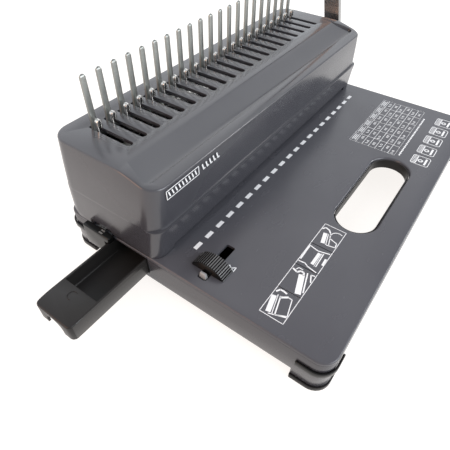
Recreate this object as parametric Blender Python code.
"""Comb binding machine: a punch housing on a flat paper deck, with one lever on the right end.

World units are metres. Every dimension below is in millimetres, and MM turns it into metres.
The working axes are: X along the comb, Y from the operator towards the back, Z up, with X = 0 at
the middle of the comb, Y = 0 on the row of dashes on the deck and Z = 0 on the deck's top.
Everything hangs from one empty, which puts the bottom centre of the whole machine at the origin.
"""
import math

import bmesh
import bpy
from mathutils import Matrix

MM = 0.001

# ---- driving dimensions -------------------------------------------------------------------
HOLES = 21                      # an A4 sheet takes 21 rings
PITCH = 14.2875                 # 9/16 inch between rings
GAP = 0.3                       # clearance between touching pieces

HALF_WIDTH = 174.5              # deck and base, left and right
FRONT = -128.0
REAR = 116.0
BASE_CORNER = 12.0
WALL = 2.5
DECK_THICK = 2.6
TRAY_BOTTOM = -26.6
FLOOR = -38.5                   # underside of the rubber feet
LEG_LENGTH = 25.0               # each corner leg along both walls
BAND_REACH = 23.0               # the black band over each leg, along both walls
BAND_Z = (-16.0, -11.0)

HOUSING_TOP = 70.0
HOUSING_INNER_TOP = 66.0
THROAT_HALF = 155.0
THROAT_HIGH = 4.6
SLOT_WIDTH = 5.6
SLOT_FRONT = 56.0
SLOT_REAR = 98.0
HOUSING_FRONT_RADIUS = 9.0
HOUSING_REAR_RADIUS = 16.0
# the top rolls down towards the front edge, as (y, z)
TOP_ROLL = [(5.0, 63.2), (11.0, 63.4), (18.0, 64.2), (26.0, 65.6), (33.0, 67.6), (40.0, 69.3), (47.0, 70.01)]
SCOOP_HALF = 164.0
SCOOP_FRONT = 21.0
SCOOP_REAR = 46.5
SCOOP_LOW = 63.6                # the scoop's deepest line

LEVER_TURN = 95.0               # degrees from rest to the bottom of the stroke
LEVER_LEAN = 12.0               # the lever rests this far behind upright
LEVER_LENGTH = 235.0
PUNCH_STROKE = 8.6
PIN_Y = 43.0
PIN_SIZE = (8.0, 3.0)
SHAFT_RADIUS = 6.0
SHAFT_Z = 39.0
CAM_RISE = PUNCH_STROKE / math.radians(LEVER_TURN)
SHAFT_Y = PIN_Y + CAM_RISE      # the cams press straight down on the line of pins
CAM_START = 9.0                 # shaft axis to the top of the punch bar at rest
CAM_X = 110.0
GEAR_MODULE = 2.0
GEAR_TEETH = 17
GEAR_X = 135.0
GEAR_WIDTH = 8.0
PITCH_RADIUS = GEAR_MODULE * GEAR_TEETH / 2

BAR_TOP = SHAFT_Z - CAM_START - GAP
BAR_HEIGHT = 8.0
BAR_HALF = 157.5
FRAME_X = 158.5
FRAME_THICK = 2.5
HOOK_PLATE_Z = (61.0, 63.0)
HOOK_PLATE_Y = (71.2, 91.0)
HOOK_Y = (86.8, 90.2)
HOOK_TOP = 79.0
TINE_Y = (93.0, 95.0)
TINE_TOP = 111.0

DRAWER_OUT = -248.5             # outer end of the chip drawer, pulled out as at rest
DRAWER_PULL = 72.8              # how far that is from shut
DRAWER_LENGTH = 328.0
DRAWER_Y = (25.5, 62.5)
DRAWER_Z = (-20.0, -4.5)
DRAWER_LID = 26.2               # closed top behind the finger grip

HANDLE_HOLE = (-1.0, -86.75, 114.0, 36.5)    # centre x, centre y, length, width
LINER_LOW = -10.5
PLATE_WINDOW = (-62.0, 106.0, -113.0, -51.0)
GUIDE_SLOT = (-166.6, -128.3, -25.3, -17.3)  # x0, x1, y0, y1
KNOB_X = (-160.0, -147.3)
KNOB_Y = -21.5
KNOB_RADIUS = 16.8
KNOB_TOP = 9.0
KNOB_LIFT = 0.4                 # the grip slides this far above the deck

GRIP_RADIUS = 13.0
ARM_X = (178.4, 184.4)

# The machine's bottom centre, in the working axes above, is moved to the world's origin.
PAD_OUT = 1.9
RIGHT_END = sum(ARM_X) / 2 + GRIP_RADIUS
ORIGIN = (
    (DRAWER_OUT + RIGHT_END) / 2,
    (FRONT + REAR) / 2,
    FLOOR,
)

for old in list(bpy.data.objects):
    bpy.data.objects.remove(old, do_unlink=True)

PARTS = bpy.data.collections.new("comb_binding_machine")
CUTTERS = bpy.data.collections.new("cutters")
bpy.context.scene.collection.children.link(PARTS)
bpy.context.scene.collection.children.link(CUTTERS)


# ---- materials ----------------------------------------------------------------------------
def material(name, colour, roughness, metallic=0.0):
    made = bpy.data.materials.new(name)
    made.use_nodes = True
    shader = made.node_tree.nodes["Principled BSDF"]
    shader.inputs["Base Color"].default_value = (*colour, 1.0)
    shader.inputs["Roughness"].default_value = roughness
    shader.inputs["Metallic"].default_value = metallic
    return made


COLOURS = {
    "grey_shell": ((0.16, 0.16, 0.17), 0.3, 0.0),
    "black_plastic": ((0.02, 0.02, 0.02), 0.4, 0.0),
    "rubber": ((0.012, 0.012, 0.012), 0.6, 0.0),
    "steel": ((0.5, 0.5, 0.49), 0.35, 1.0),
    "dark_steel": ((0.12, 0.12, 0.12), 0.4, 1.0),
    "nickel": ((0.66, 0.64, 0.6), 0.2, 1.0),
    "white_nylon": ((0.75, 0.75, 0.72), 0.5, 0.0),
}


# ---- building blocks ----------------------------------------------------------------------
def empty(name, place, parent=None):
    made = bpy.data.objects.new(name, None)
    made.location = [value * MM for value in place]
    made.parent = parent
    PARTS.objects.link(made)
    return made


MACHINE = empty("machine", [-value for value in ORIGIN])


def add_object(name, mesh, look=None, parent=MACHINE):
    """Link a mesh as a part, or as a hidden cutter when it has no look."""
    made = bpy.data.objects.new(name, mesh)
    made.parent = parent
    if look is None:
        CUTTERS.objects.link(made)
        made.hide_render = True
        made.display_type = "WIRE"
        return made
    mesh.materials.clear()
    mesh.materials.append(material(name + "_look", *COLOURS[look]))
    PARTS.objects.link(made)
    return made


def finish_mesh(work, name):
    """Weld, face the normals outwards and store the mesh."""
    bmesh.ops.remove_doubles(work, verts=work.verts, dist=0.00001)
    bmesh.ops.recalc_face_normals(work, faces=work.faces)
    mesh = bpy.data.meshes.new(name)
    work.to_mesh(mesh)
    work.free()
    mesh.shade_smooth()
    mesh.set_sharp_from_angle(angle=math.radians(35))
    return mesh


AXIS_TURNS = {
    "Z": Matrix.Identity(4),
    "X": Matrix(((0, 0, 1, 0), (1, 0, 0, 0), (0, 1, 0, 0), (0, 0, 0, 1))),
    "Y": Matrix(((1, 0, 0, 0), (0, 0, -1, 0), (0, 1, 0, 0), (0, 0, 0, 1))),
}


def prism_mesh(name, outlines, start, end, axis="Z", rounding=0.0):
    """Extrude flat outlines, holes included, along an axis. Outlines are XY, YZ or XZ."""
    curve = bpy.data.curves.new(name, "CURVE")
    curve.dimensions = "2D"
    curve.fill_mode = "BOTH"
    curve.extrude = ((end - start) / 2 - rounding) * MM
    curve.bevel_depth = rounding * MM
    curve.bevel_resolution = 1
    curve.offset = -rounding * MM
    for outline in outlines:
        spline = curve.splines.new("POLY")
        spline.points.add(len(outline) - 1)
        for point, (u, v) in zip(spline.points, outline):
            point.co = (u * MM, v * MM, 0.0, 1.0)
        spline.use_cyclic_u = True
    flat = bpy.data.objects.new(name, curve)
    CUTTERS.objects.link(flat)
    graph = bpy.context.evaluated_depsgraph_get()
    mesh = bpy.data.meshes.new_from_object(flat.evaluated_get(graph))
    bpy.data.objects.remove(flat, do_unlink=True)
    bpy.data.curves.remove(curve)
    work = bmesh.new()
    work.from_mesh(mesh)
    bpy.data.meshes.remove(mesh)
    middle = (start + end) / 2 * MM
    shift = {"X": (middle, 0, 0), "Y": (0, middle, 0), "Z": (0, 0, middle)}[axis]
    work.transform(Matrix.Translation(shift) @ AXIS_TURNS[axis])
    return finish_mesh(work, name)


def prism(name, outlines, start, end, look=None, axis="Z", rounding=0.0, parent=MACHINE):
    mesh = prism_mesh(name, outlines, start, end, axis, rounding)
    return add_object(name, mesh, look, parent)


def block(name, x, y, z, look=None, parent=MACHINE):
    """A box between pairs of X, Y and Z values."""
    work = bmesh.new()
    bmesh.ops.create_cube(work, size=1.0)
    size = [(pair[1] - pair[0]) * MM for pair in (x, y, z)]
    middle = [(pair[1] + pair[0]) / 2 * MM for pair in (x, y, z)]
    work.transform(Matrix.Translation(middle) @ Matrix.Diagonal((*size, 1.0)))
    return add_object(name, finish_mesh(work, name), look, parent)


def rod(name, centre, radius, span, look=None, axis="X", sides=24, parent=MACHINE):
    """A round bar. The centre is given on the two axes across it, the span along it."""
    return prism(name, [circle(*centre, radius, sides)], *span, look=look, axis=axis, parent=parent)


def cut(target, *cutters, operation="DIFFERENCE"):
    for cutter in cutters:
        step = target.modifiers.new(cutter.name, "BOOLEAN")
        step.operation = operation
        step.solver = "EXACT"
        step.object = cutter


# ---- outlines -----------------------------------------------------------------------------
def arc(u, v, radius, start, end, steps):
    """Points on an arc, angles in degrees."""
    points = []
    for index in range(steps + 1):
        angle = math.radians(start + (end - start) * index / steps)
        points.append((u + radius * math.cos(angle), v + radius * math.sin(angle)))
    return points


def circle(u, v, radius, sides=24):
    return arc(u, v, radius, 0, 360 * (sides - 1) / sides, sides - 1)


def rectangle(u0, u1, v0, v1):
    return [(u0, v0), (u1, v0), (u1, v1), (u0, v1)]


def rounded_rectangle(u0, u1, v0, v1, low, high=None, steps=5):
    """A rectangle whose corners have one radius at v0 and another at v1."""
    high = low if high is None else high
    points = arc(u0 + low, v0 + low, low, 180, 270, steps)
    points += arc(u1 - low, v0 + low, low, 270, 360, steps)
    points += arc(u1 - high, v1 - high, high, 0, 90, steps)
    points += arc(u0 + high, v1 - high, high, 90, 180, steps)
    return points


def stadium(u, v, length, width, steps=8):
    radius = width / 2
    half = length / 2 - radius
    return arc(u + half, v, radius, -90, 90, steps) + arc(u - half, v, radius, 90, 270, steps)


def hole_positions():
    return [(index - (HOLES - 1) / 2) * PITCH for index in range(HOLES)]


# ---- the base -----------------------------------------------------------------------------
def base_outline(outwards):
    grown = BASE_CORNER + outwards
    return rounded_rectangle(
        -HALF_WIDTH - outwards, HALF_WIDTH + outwards, FRONT - outwards, REAR + outwards, grown
    )


def corner_centre(side, end):
    """The centre of a base corner's rounding, for side -1 or 1 and end 'front' or 'rear'."""
    x = side * (HALF_WIDTH - BASE_CORNER)
    y = FRONT + BASE_CORNER if end == "front" else REAR - BASE_CORNER
    return x, y


def corner_shape(side, end, outer, inner, reach):
    """A strip that follows the base's corner, between two offsets from the wall's face."""
    x, y = corner_centre(side, end)
    straight = reach - BASE_CORNER
    to_back = 1 if end == "front" else -1
    around = []
    around.append((-BASE_CORNER - outer, straight))
    around += arc(0, 0, BASE_CORNER + outer, 180, 270, 6)
    around.append((straight, -BASE_CORNER - outer))
    around.append((straight, -BASE_CORNER - inner))
    around += arc(0, 0, BASE_CORNER + inner, 270, 180, 6)
    around.append((-BASE_CORNER - inner, straight))
    points = [(x - side * u, y + to_back * v) for u, v in around]
    return points


def corner_pad_shape(side, end, outer, reach):
    """The whole corner, with a rounded outside and square inside."""
    x, y = corner_centre(side, end)
    straight = reach - BASE_CORNER
    to_back = 1 if end == "front" else -1
    around = [(straight, straight), (-BASE_CORNER - outer, straight)]
    around += arc(0, 0, BASE_CORNER + outer, 180, 270, 6)
    around.append((straight, -BASE_CORNER - outer))
    return [(x - side * u, y + to_back * v) for u, v in around]


CORNERS = [
    ("front_left", -1, "front"),
    ("front_right", 1, "front"),
    ("rear_left", -1, "rear"),
    ("rear_right", 1, "rear"),
]
LEG_BOTTOM = FLOOR + 5.2
SCREW_INSET = 15.0


def screw_place(side, end):
    return (
        side * (HALF_WIDTH - SCREW_INSET),
        FRONT + SCREW_INSET if end == "front" else REAR - SCREW_INSET,
    )


def make_base_tray():
    """Grey walls with four corner legs, a screw boss in each corner and a bay for the drawer."""
    wall_top = -DECK_THICK - 0.4
    tray = prism(
        "base_tray",
        [base_outline(0), base_outline(-WALL)],
        TRAY_BOTTOM,
        wall_top,
        "grey_shell",
    )
    for name, side, end in CORNERS:
        leg = prism(
            "leg_" + name,
            [corner_pad_shape(side, end, 0.0, LEG_LENGTH)],
            LEG_BOTTOM,
            TRAY_BOTTOM + 0.01,
        )
        cut(tray, leg, operation="UNION")
        x, y = screw_place(side, end)
        boss = block("boss_" + name, (x - 7, x + 7), (y - 7, y + 7), (-24.4, wall_top - 0.5))
        arm_end = side * (HALF_WIDTH - 1)
        rib = block(
            "rib_" + name,
            sorted((x, arm_end)),
            (y - 4, y + 4),
            (-24.0, wall_top - 1.0),
        )
        cut(tray, boss, rib, operation="UNION")
        pocket = prism(
            "pocket_" + name,
            [circle(x, y, 1.9, 12)],
            -40.0,
            -12.0,
        )
        well = prism("well_" + name, [circle(x, y, 5.0, 16)], -40.0, TRAY_BOTTOM + 0.05)
        cut(tray, pocket, well)
    bay = block(
        "drawer_bay",
        (-HALF_WIDTH - 5, -HALF_WIDTH + WALL + 1),
        (DRAWER_Y[0] - 0.8, DRAWER_Y[1] + 1.0),
        (DRAWER_Z[0] - 0.8, 0.0),
    )
    cut(tray, bay)
    return tray


def make_bottom_plate():
    """The steel plate under the tray; a wide window in it keeps the carrying hole free for fingers."""
    outline = base_outline(-WALL - GAP)
    outlines = [outline, rounded_rectangle(*PLATE_WINDOW, 6.0, steps=4)]
    for name, side, end in CORNERS:
        outlines.append(circle(*screw_place(side, end), 1.9, 12))
    return prism("bottom_plate", outlines, TRAY_BOTTOM + GAP, TRAY_BOTTOM + 1.8, "dark_steel")


def make_corner_parts():
    """A rubber pad, a black guard band and a screw at every corner."""
    for name, side, end in CORNERS:
        pad = prism(
            "foot_pad_" + name,
            [corner_pad_shape(side, end, PAD_OUT, LEG_LENGTH + 2)],
            FLOOR,
            LEG_BOTTOM - GAP,
            "rubber",
        )
        x, y = screw_place(side, end)
        cut(pad, prism("pad_hole_" + name, [circle(x, y, 5.0, 16)], -50.0, -20.0))
        prism(
            "corner_band_" + name,
            [corner_shape(side, end, PAD_OUT, GAP, BAND_REACH)],
            *BAND_Z,
            "black_plastic",
        )
        head = [circle(x, y, 3.6, 16)]
        head_z = (TRAY_BOTTOM - 2.1, TRAY_BOTTOM - GAP)
        screw = prism("base_screw_" + name, head, *head_z, "steel")
        shank = prism("screw_shank", [circle(x, y, 1.5, 12)], TRAY_BOTTOM - 1.0, -14.0)
        slot_z = (TRAY_BOTTOM - 3.0, TRAY_BOTTOM - 1.2)
        slot = block("screw_slot", (x - 2.2, x + 2.2), (y - 0.5, y + 0.5), slot_z)
        cut(screw, shank, operation="UNION")
        cut(screw, slot)


def make_deck_cover():
    """The flat top moulding: paper deck in front, a frame round the punch behind."""
    x, y, length, width = HANDLE_HOLE
    outlines = [
        base_outline(0),
        stadium(x, y, length, width, 10),
        rounded_rectangle(*GUIDE_SLOT, 0.6, steps=1),
        rectangle(-163.0, 163.0, 24.5, 68.5),
    ]
    return prism("deck_cover", outlines, -DECK_THICK, 0.0, "grey_shell", rounding=1.0)


def make_handle_liner():
    """The short black sleeve that lines the carrying hole under the deck's rolled lip."""
    x, y, length, width = HANDLE_HOLE
    outer = stadium(x, y, length - 2 * GAP, width - 2 * GAP, 10)
    inner = stadium(x, y, length - 2.6, width - 2.6, 10)
    return prism("handle_liner", [outer, inner], LINER_LOW, -1.6, "black_plastic")


# ---- the housing --------------------------------------------------------------------------
def ring_points(half, front, rear, front_radius, rear_radius, z):
    outline = rounded_rectangle(-half, half, front, rear, front_radius, rear_radius)
    return [(x, y, z) for x, y in outline]


def loft_mesh(name, rings):
    """Skin a stack of rings that all have the same number of points."""
    work = bmesh.new()
    rows = []
    for ring in rings:
        rows.append([work.verts.new([value * MM for value in point]) for point in ring])
    count = len(rows[0])
    for low, high in zip(rows, rows[1:]):
        for index in range(count):
            after = (index + 1) % count
            work.faces.new((low[index], low[after], high[after], high[index]))
    work.faces.new(list(reversed(rows[0])))
    work.faces.new(rows[-1])
    return finish_mesh(work, name)


def housing_rings(inset):
    """Sections of the housing from the deck upwards; inset makes the inside of the shell.

    The front runs out from the throat to a narrow ledge, then stands upright above it.
    """
    sections = [
        (174.3, 13.4, 0.3),
        (174.0, 12.9, 4.6),
        (173.6, 11.0, 20.0),
        (173.3, 9.6, 27.2),
        (173.2, 9.4, 28.0),
        (172.9, 12.0, 29.2),
        (171.6, 11.4, 48.0),
        (169.4, 10.8, 68.5),
    ]
    rings = []
    for half, front, z in sections:
        rear = REAR - 0.4 - z * 0.03
        rings.append((half - inset, front + inset, rear - inset, z))
    return rings


def make_housing_cover():
    """The top moulding: plinth, ledge, upright front and a slotted top with a shallow scoop."""
    rings = []
    for half, front, rear, z in housing_rings(0.0):
        rings.append(ring_points(half, front, rear, HOUSING_FRONT_RADIUS, HOUSING_REAR_RADIUS, z))
    half, front, rear, z = housing_rings(0.0)[-1]
    edge = HOUSING_TOP - z
    for angle in (30, 60, 90):
        lift = math.sin(math.radians(angle)) * edge
        inwards = (1 - math.cos(math.radians(angle))) * edge
        rings.append(
            ring_points(
                half - inwards,
                front + inwards,
                rear - inwards,
                HOUSING_FRONT_RADIUS - inwards,
                HOUSING_REAR_RADIUS - inwards,
                z + lift,
            )
        )
    cover = add_object("housing_cover", loft_mesh("housing_cover", rings), "grey_shell")

    inner = []
    for half, front, rear, z in housing_rings(3.0):
        level = -1.0 if not inner else z
        inner.append(ring_points(half, front, rear, HOUSING_FRONT_RADIUS - 3, HOUSING_REAR_RADIUS - 3, level))
    half, front, rear, z = housing_rings(3.2)[-1]
    inner.append(ring_points(half, front, rear, 5.8, 12.8, HOUSING_INNER_TOP))
    hollow = add_object("housing_hollow", loft_mesh("housing_hollow", inner))

    cut(hollow, block("front_step", (-180.0, 180.0), (5.0, 42.0), (61.0, 75.0)))

    above = HOUSING_TOP + 5.0
    scoop_profile = [(SCOOP_FRONT, above), (SCOOP_FRONT, SCOOP_LOW + 0.9)]
    low_y = SCOOP_FRONT + 3.0
    for index in range(9):
        share = index / 8
        height = SCOOP_LOW + (HOUSING_TOP + 0.1 - SCOOP_LOW) * share ** 1.2
        scoop_profile.append((low_y + (SCOOP_REAR - low_y) * share, height))
    scoop_profile.append((SCOOP_REAR, above))
    scoop = prism("scoop", [scoop_profile], -SCOOP_HALF, SCOOP_HALF, axis="X")
    over_front = prism("over_front", [TOP_ROLL + [(TOP_ROLL[-1][0], above), (TOP_ROLL[0][0], above)]],
                       -180.0, 180.0, axis="X")

    throat = prism(
        "throat",
        [rounded_rectangle(-THROAT_HALF, THROAT_HALF, -9.0, THROAT_HIGH, 0.5, 3.5, steps=4)],
        0.0,
        24.0,
        axis="Y",
    )
    shaft_hole = rod("shaft_hole", (SHAFT_Y, SHAFT_Z), 8.5, (150.0, 190.0))
    arm_notch = block("arm_notch", (-182.0, -165.0), (62.0, 82.0), (-1.0, 3.8))
    cut(cover, hollow, over_front, scoop, throat, shaft_hole, arm_notch)

    outlines = []
    radius = SLOT_WIDTH / 2
    for x in hole_positions():
        outline = arc(x, SLOT_FRONT + radius, radius, 180, 360, 6)
        outline += [(x + radius, SLOT_REAR), (x - radius, SLOT_REAR)]
        outlines.append(outline)
    cut(cover, prism("slots", outlines, 60.0, 80.0))
    return cover


# ---- the binding combs --------------------------------------------------------------------
def make_comb_plate():
    """The fixed plate: a strip under the housing's top with a tall tine at every slot."""
    low = 48.0
    strip = HOUSING_INNER_TOP - GAP
    points = [(-157.9, low), (157.9, low), (157.9, strip)]
    for x in reversed(hole_positions()):
        points += [(x + 2.5, strip), (x + 2.45, 74.0), (x + 2.2, TINE_TOP - 2.2)]
        points += arc(x, TINE_TOP - 2.2, 2.2, 30, 150, 3)
        points += [(x - 2.2, TINE_TOP - 2.2), (x - 2.45, 74.0), (x - 2.5, strip)]
    points.append((-157.9, strip))
    return prism("comb_plate", [points], *TINE_Y, look="nickel", axis="Y")


def make_hook_plate():
    """The sliding plate: a finger in every slot, with an upright hook at its back end."""
    plate = block("hook_plate", (-157.9, 157.9), HOOK_PLATE_Y, HOOK_PLATE_Z, "nickel")
    finger_outlines = []
    hook_outlines = []
    for x in hole_positions():
        left = x - 2.4
        finger_outlines.append(rectangle(left, left + 3.1, 71.5, HOOK_Y[1]))
        hook = [(left, 62.0), (left + 1.4, 62.0), (left + 1.4, HOOK_TOP - 1.6)]
        hook += [(left + 3.0, HOOK_TOP - 1.6), (left + 3.0, 72.0), (left + 4.4, 72.0)]
        hook += [(left + 4.4, HOOK_TOP - 1.2), (left + 3.4, HOOK_TOP), (left + 1.0, HOOK_TOP)]
        hook += [(left, HOOK_TOP - 1.2)]
        hook_outlines.append(hook)
    fingers = prism("hook_fingers", finger_outlines, HOOK_PLATE_Z[0] + 0.5, 65.5)
    hooks = prism("hook_heads", hook_outlines, HOOK_Y[0], HOOK_Y[1] - 0.5, axis="Y")
    cut(plate, fingers, hooks, operation="UNION")
    return plate


def make_rails():
    for name, side in (("left", -1), ("right", 1)):
        x = sorted((side * 151.5, side * (FRAME_X - GAP)))
        block("hook_rail_" + name, x, (36.0, 92.0), (56.0, HOOK_PLATE_Z[0] - GAP), "white_nylon")


# ---- gears and racks ----------------------------------------------------------------------
TOOTH_SLACK = 0.25               # taken off both sides of every tooth


def gear_tooth(centre):
    """One involute tooth round its centre line, given in degrees, as outline points."""
    pressure = math.radians(20)
    base = PITCH_RADIUS * math.cos(pressure)
    tip = PITCH_RADIUS + 0.9 * GEAR_MODULE
    root = PITCH_RADIUS - 1.2 * GEAR_MODULE
    half_pitch = math.pi / (2 * GEAR_TEETH) - TOOTH_SLACK / PITCH_RADIUS
    roll = math.tan(pressure) - pressure
    right = []
    for index in range(4):
        radius = base + (tip - base) * index / 3
        angle = math.acos(base / radius)
        spread = half_pitch + roll - (math.tan(angle) - angle)
        right.append((radius, -spread))
    left = [(radius, -spread) for radius, spread in reversed(right)]
    foot = half_pitch + roll
    outline = [(root, -foot)] + right + left + [(root, foot)]
    points = []
    for radius, spread in outline:
        angle = math.radians(centre) + spread
        points.append((radius * math.cos(angle), radius * math.sin(angle)))
    return points


def sector_outline():
    """A toothed sector whose first gap faces straight up, with a round hub."""
    step = 360 / GEAR_TEETH
    centres = [90 + step / 2 - step * index for index in range(7)]
    low = centres[-1] - step / 2
    high = centres[0] + step / 2
    points = arc(0, 0, 9.0, high, low + 360, 10)
    for centre in reversed(centres):
        points += gear_tooth(centre)
    return points


def rack_outline(first, last):
    """A straight rack in YZ with teeth that point down, one of them over the shaft."""
    spacing = math.pi * GEAR_MODULE
    pitch_line = SHAFT_Z + PITCH_RADIUS
    tip = pitch_line - 0.9 * GEAR_MODULE
    root = pitch_line + 1.2 * GEAR_MODULE
    slope = math.tan(math.radians(20))
    half = spacing / 4 - TOOTH_SLACK
    points = [(first, HOOK_PLATE_Z[0] - GAP), (first, root)]
    count = 7
    for index in range(count):
        y = SHAFT_Y + index * spacing
        if index > 0 or y - half - 2 > first:
            points.append((y - half - (root - pitch_line) * slope, root))
            points.append((y - half + (pitch_line - tip) * slope, tip))
        points.append((y + half - (pitch_line - tip) * slope, tip))
        points.append((y + half + (root - pitch_line) * slope, root))
    points += [(last, root), (last, HOOK_PLATE_Z[0] - GAP)]
    return points


def cam_outline():
    """The cam's flank is an involute of a small circle, so a flat bar falls evenly with it.

    Its distance from the shaft towards any working direction grows by CAM_RISE each radian.
    """
    points = []
    for degree in range(0, int(LEVER_TURN) + 6, 5):
        turn = math.radians(degree)
        height = CAM_START + CAM_RISE * turn
        y = -height * math.sin(turn) - CAM_RISE * math.cos(turn)
        z = -height * math.cos(turn) + CAM_RISE * math.sin(turn)
        points.append((y, z))
    for degree in range(160, 331, 17):
        turn = math.radians(degree)
        points.append((-8.0 * math.sin(turn), -8.0 * math.cos(turn)))
    return points


def make_racks():
    for name, side in (("left", -1), ("right", 1)):
        x = side * GEAR_X
        prism(
            "hook_rack_" + name,
            [rack_outline(SHAFT_Y - 3.6, SHAFT_Y + 41.0)],
            x - GEAR_WIDTH / 2,
            x + GEAR_WIDTH / 2,
            "white_nylon",
            axis="X",
        )


# ---- lever and shaft ----------------------------------------------------------------------
def make_lever():
    """Everything that turns with the lever. Its parent empty stands on the shaft's axis."""
    axis = empty("lever_axis", (0, SHAFT_Y, SHAFT_Z), MACHINE)
    rod("lever_shaft", (0, 0), SHAFT_RADIUS, (-166.0, 184.0), "steel", parent=axis)
    bore = circle(0, 0, SHAFT_RADIUS + GAP, 24)
    for name, side in (("left", -1), ("right", 1)):
        x = side * GEAR_X
        span = (x - GEAR_WIDTH / 2, x + GEAR_WIDTH / 2)
        prism("pinion_" + name, [sector_outline(), bore], *span, "white_nylon", "X", parent=axis)
        x = side * CAM_X
        prism("cam_" + name, [cam_outline(), bore], x - 5, x + 5, "steel", "X", parent=axis)

    lean = empty("lever_lean", (0, 0, 0), axis)
    lean.rotation_euler.x = -math.radians(LEVER_LEAN)
    arm = arc(0, 0, 13.0, 180, 360, 10)
    arm += [(9.0, 60.0), (8.0, 118.0), (8.0, 205.0), (-8.0, 205.0), (-8.0, 118.0), (-9.0, 60.0)]
    prism("lever_arm", [arm, bore], *ARM_X, "steel", "X", parent=lean)

    profile = [(0.0, LEVER_LENGTH)]
    profile += [(8.0, LEVER_LENGTH), (11.0, LEVER_LENGTH - 1.5), (GRIP_RADIUS, LEVER_LENGTH - 6)]
    profile += [(12.0, 200.0), (11.6, 160.0), (GRIP_RADIUS, 128.0), (11.5, 122.0), (0.0, 122.0)]
    grip = turned("lever_grip", profile, sum(ARM_X) / 2, "black_plastic", lean)
    tang = block("grip_tang", (ARM_X[0] - GAP, ARM_X[1] + GAP), (-8.3, 8.3), (100.0, 205.5))
    tang.parent = lean
    cut(grip, tang)

    cap = [(0.0, 191.0), (8.0, 190.6), (12.0, 189.2), (14.0, 186.6), (14.0, 184.8), (0.0, 184.8)]
    turned("hub_cap", cap, 0.0, "black_plastic", lean, along_x=True)
    return axis


def turned(name, profile, x, look, parent, along_x=False):
    """Turn a profile of (radius, height) round a vertical line at x, or round the X axis."""
    work = bmesh.new()
    verts = [work.verts.new((radius * MM, 0.0, height * MM)) for radius, height in profile]
    for low, high in zip(verts, verts[1:]):
        work.edges.new((low, high))
    bmesh.ops.spin(
        work,
        geom=list(work.verts) + list(work.edges),
        cent=(0, 0, 0),
        axis=(0, 0, 1),
        angle=math.tau,
        steps=20,
        use_merge=True,
    )
    if along_x:
        work.transform(Matrix.Rotation(math.radians(90), 4, "Y"))
    work.transform(Matrix.Translation((x * MM, 0, 0)))
    return add_object(name, finish_mesh(work, name), look, parent)


# ---- the punch ----------------------------------------------------------------------------
def make_punch():
    """The pressing bar with its row of oblong pins, and what guides them."""
    bar_bottom = BAR_TOP - BAR_HEIGHT
    bar_y = (PIN_Y - 5, PIN_Y + 5)
    bar = block("punch_bar", (-BAR_HALF, BAR_HALF), bar_y, (bar_bottom, BAR_TOP), "dark_steel")
    half_x = PIN_SIZE[0] / 2
    half_y = PIN_SIZE[1] / 2
    pins = []
    holes = []
    for x in hole_positions():
        pins.append(rectangle(x - half_x, x + half_x, PIN_Y - half_y, PIN_Y + half_y))
        clear = 0.4
        holes.append(
            rectangle(
                x - half_x - clear, x + half_x + clear, PIN_Y - half_y - clear, PIN_Y + half_y + clear
            )
        )
    cut(bar, prism("pins", pins, 4.5, bar_bottom + 1.0), operation="UNION")

    die = [rectangle(-162.7, 162.7, 24.8, 68.2)] + holes
    prism("die_plate", die, -3.9, -GAP, "steel")
    guide = [rectangle(-148.5, 148.5, 36.0, 50.0)] + holes
    prism("punch_guide", guide, 3.8, 7.8, "steel")


def make_spring(name, x):
    """A return spring that lifts one end of the pressing bar."""
    wire = 0.6
    low = wire + 0.1
    high = BAR_TOP - BAR_HEIGHT - GAP - wire
    turns = 5
    per_turn = 10
    curve = bpy.data.curves.new(name, "CURVE")
    curve.dimensions = "3D"
    curve.bevel_depth = wire * MM
    curve.bevel_resolution = 1
    curve.use_fill_caps = True
    spline = curve.splines.new("POLY")
    spline.points.add(turns * per_turn)
    for index, point in enumerate(spline.points):
        turn = math.tau * index / per_turn
        height = low + (high - low) * index / (turns * per_turn)
        place = (x + 3.0 * math.cos(turn), PIN_Y + 3.0 * math.sin(turn), height)
        point.co = (*[value * MM for value in place], 1.0)
    made = bpy.data.objects.new(name, curve)
    made.parent = MACHINE
    curve.materials.append(material(name + "_look", *COLOURS["steel"]))
    PARTS.objects.link(made)


def make_frames():
    """Two upright side plates carry the shaft in nylon bushes; a rod ties them together."""
    hole = circle(SHAFT_Y, SHAFT_Z, 8.8, 24)
    tie = (84.0, 20.0)
    for name, side in (("left", -1), ("right", 1)):
        outline = [(30.0, GAP), (44.0, GAP), (44.0, 4.2), (58.0, 4.2), (58.0, GAP)]
        outline += [(106.0, GAP), (106.0, 40.0), (92.0, 60.0), (40.0, 60.0), (30.0, 50.0)]
        x = sorted((side * FRAME_X, side * (FRAME_X + FRAME_THICK)))
        tie_hole = circle(*tie, 3.3, 16)
        prism("side_frame_" + name, [outline, hole, tie_hole], *x, "steel", "X")
        bush = [circle(SHAFT_Y, SHAFT_Z, 8.5, 24), circle(SHAFT_Y, SHAFT_Z, SHAFT_RADIUS + GAP, 24)]
        x = sorted((side * (FRAME_X - GAP), side * (FRAME_X + 5)))
        prism("shaft_bush_" + name, bush, *x, "white_nylon", "X")
    rod("tie_rod", tie, 3.0, (-164.0, 164.0), "steel", sides=16)
    ring = [circle(SHAFT_Y, SHAFT_Z, 15.0, 28), circle(SHAFT_Y, SHAFT_Z, 7.0, 24)]
    prism("shaft_collar", ring, 173.9, 178.0, "black_plastic", "X")


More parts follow.
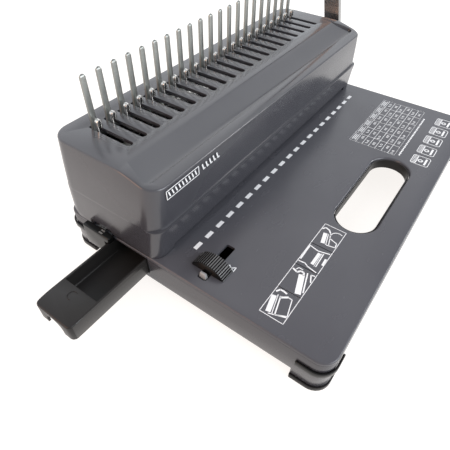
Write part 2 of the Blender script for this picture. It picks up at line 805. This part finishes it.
# ---- what the operator sets ---------------------------------------------------------------
def make_margin_control():
    """The depth stop behind the pins, and the slider outside that moves it."""
    y = (48.5, 50.5)
    outline = [(-170.5, y[0]), (157.0, y[0]), (157.0, y[1]), (-166.0, y[1]), (-166.0, 76.0)]
    outline += [(-175.0, 76.0), (-175.0, 68.0), (-170.5, 68.0)]
    prism("stop_bar", [outline], 0.6, 3.0, "steel")
    block_shape = [(58.5, -3.4), (64.3, -3.4), (64.3, -18.5), (88.5, -18.5), (88.5, 2.5), (58.5, 2.5)]
    prism("margin_slider", [block_shape], -181.0, -175.3, "black_plastic", "X")


def make_edge_guide():
    """The paper's left edge guide: a half-round grip over a shoe that runs in the deck's slot."""
    centre_z = KNOB_TOP - KNOB_RADIUS
    low = math.degrees(math.asin((KNOB_LIFT - centre_z) / KNOB_RADIUS))
    outline = arc(KNOB_Y, centre_z, KNOB_RADIUS, low, 180 - low, 18)
    prism("guide_knob", [outline], *KNOB_X, "black_plastic", "X")
    y0, y1 = GUIDE_SLOT[2:]
    stem_y = (y0 + 0.4, y1 - 0.4)
    stem = block("guide_stem", (-158.0, -148.0), stem_y, (-5.0, KNOB_LIFT - GAP))
    shoe_z = (-6.0, -DECK_THICK - GAP)
    shoe = block("guide_shoe", KNOB_X, (y0 - 4, y1 + 4), shoe_z, "black_plastic")
    cut(shoe, stem, operation="UNION")
    block("guide_pointer", (-165.3, -161.8), stem_y, (-2.0, 4.0), "white_nylon")


def make_chip_drawer():
    """The long chip drawer: open bin, lid over the outer end and an arch to pull it by."""
    x0 = DRAWER_OUT
    x1 = DRAWER_OUT + DRAWER_LENGTH
    y0, y1 = DRAWER_Y
    z0, z1 = DRAWER_Z
    shape = rounded_rectangle(x0, x1, y0, y1, 3.0, steps=3)
    drawer = prism("chip_drawer", [shape], z0, z1, "black_plastic")
    bin_x = x0 + DRAWER_LID
    bin_hollow = block("bin", (bin_x, x1 - 1.8), (y0 + 1.8, y1 - 1.8), (z0 + 1.8, z1 + 1))
    under = block("grip_pocket", (x0 + 2, bin_x - 2), (y0 + 2, y1 - 2), (z0 - 1, z1 - 2))
    arch = arc((y0 + y1) / 2, z0 + 3.5, 8.5, 0, 180, 8)
    arch = [((y0 + y1) / 2 - 8.5, z0 - 1), ((y0 + y1) / 2 + 8.5, z0 - 1)] + arch
    opening = prism("grip_arch", [arch], x0 - 1, x0 + 4, axis="X")
    cut(drawer, bin_hollow, under, opening)
    return drawer


def make_drawer_rails():
    for name, y in (("front", 27.0), ("rear", 58.0)):
        x = (-165.0, 165.0)
        z = (TRAY_BOTTOM + 2.1, DRAWER_Z[0] - GAP)
        block("drawer_rail_" + name, x, (y, y + 3), z, "dark_steel")


make_base_tray()
make_bottom_plate()
make_corner_parts()
make_deck_cover()
make_handle_liner()
make_housing_cover()
make_comb_plate()
make_hook_plate()
make_rails()
make_racks()
make_lever()
make_punch()
make_spring("return_spring_left", -153.3)
make_spring("return_spring_right", 153.3)
make_frames()
make_margin_control()
make_edge_guide()
make_chip_drawer()
make_drawer_rails()
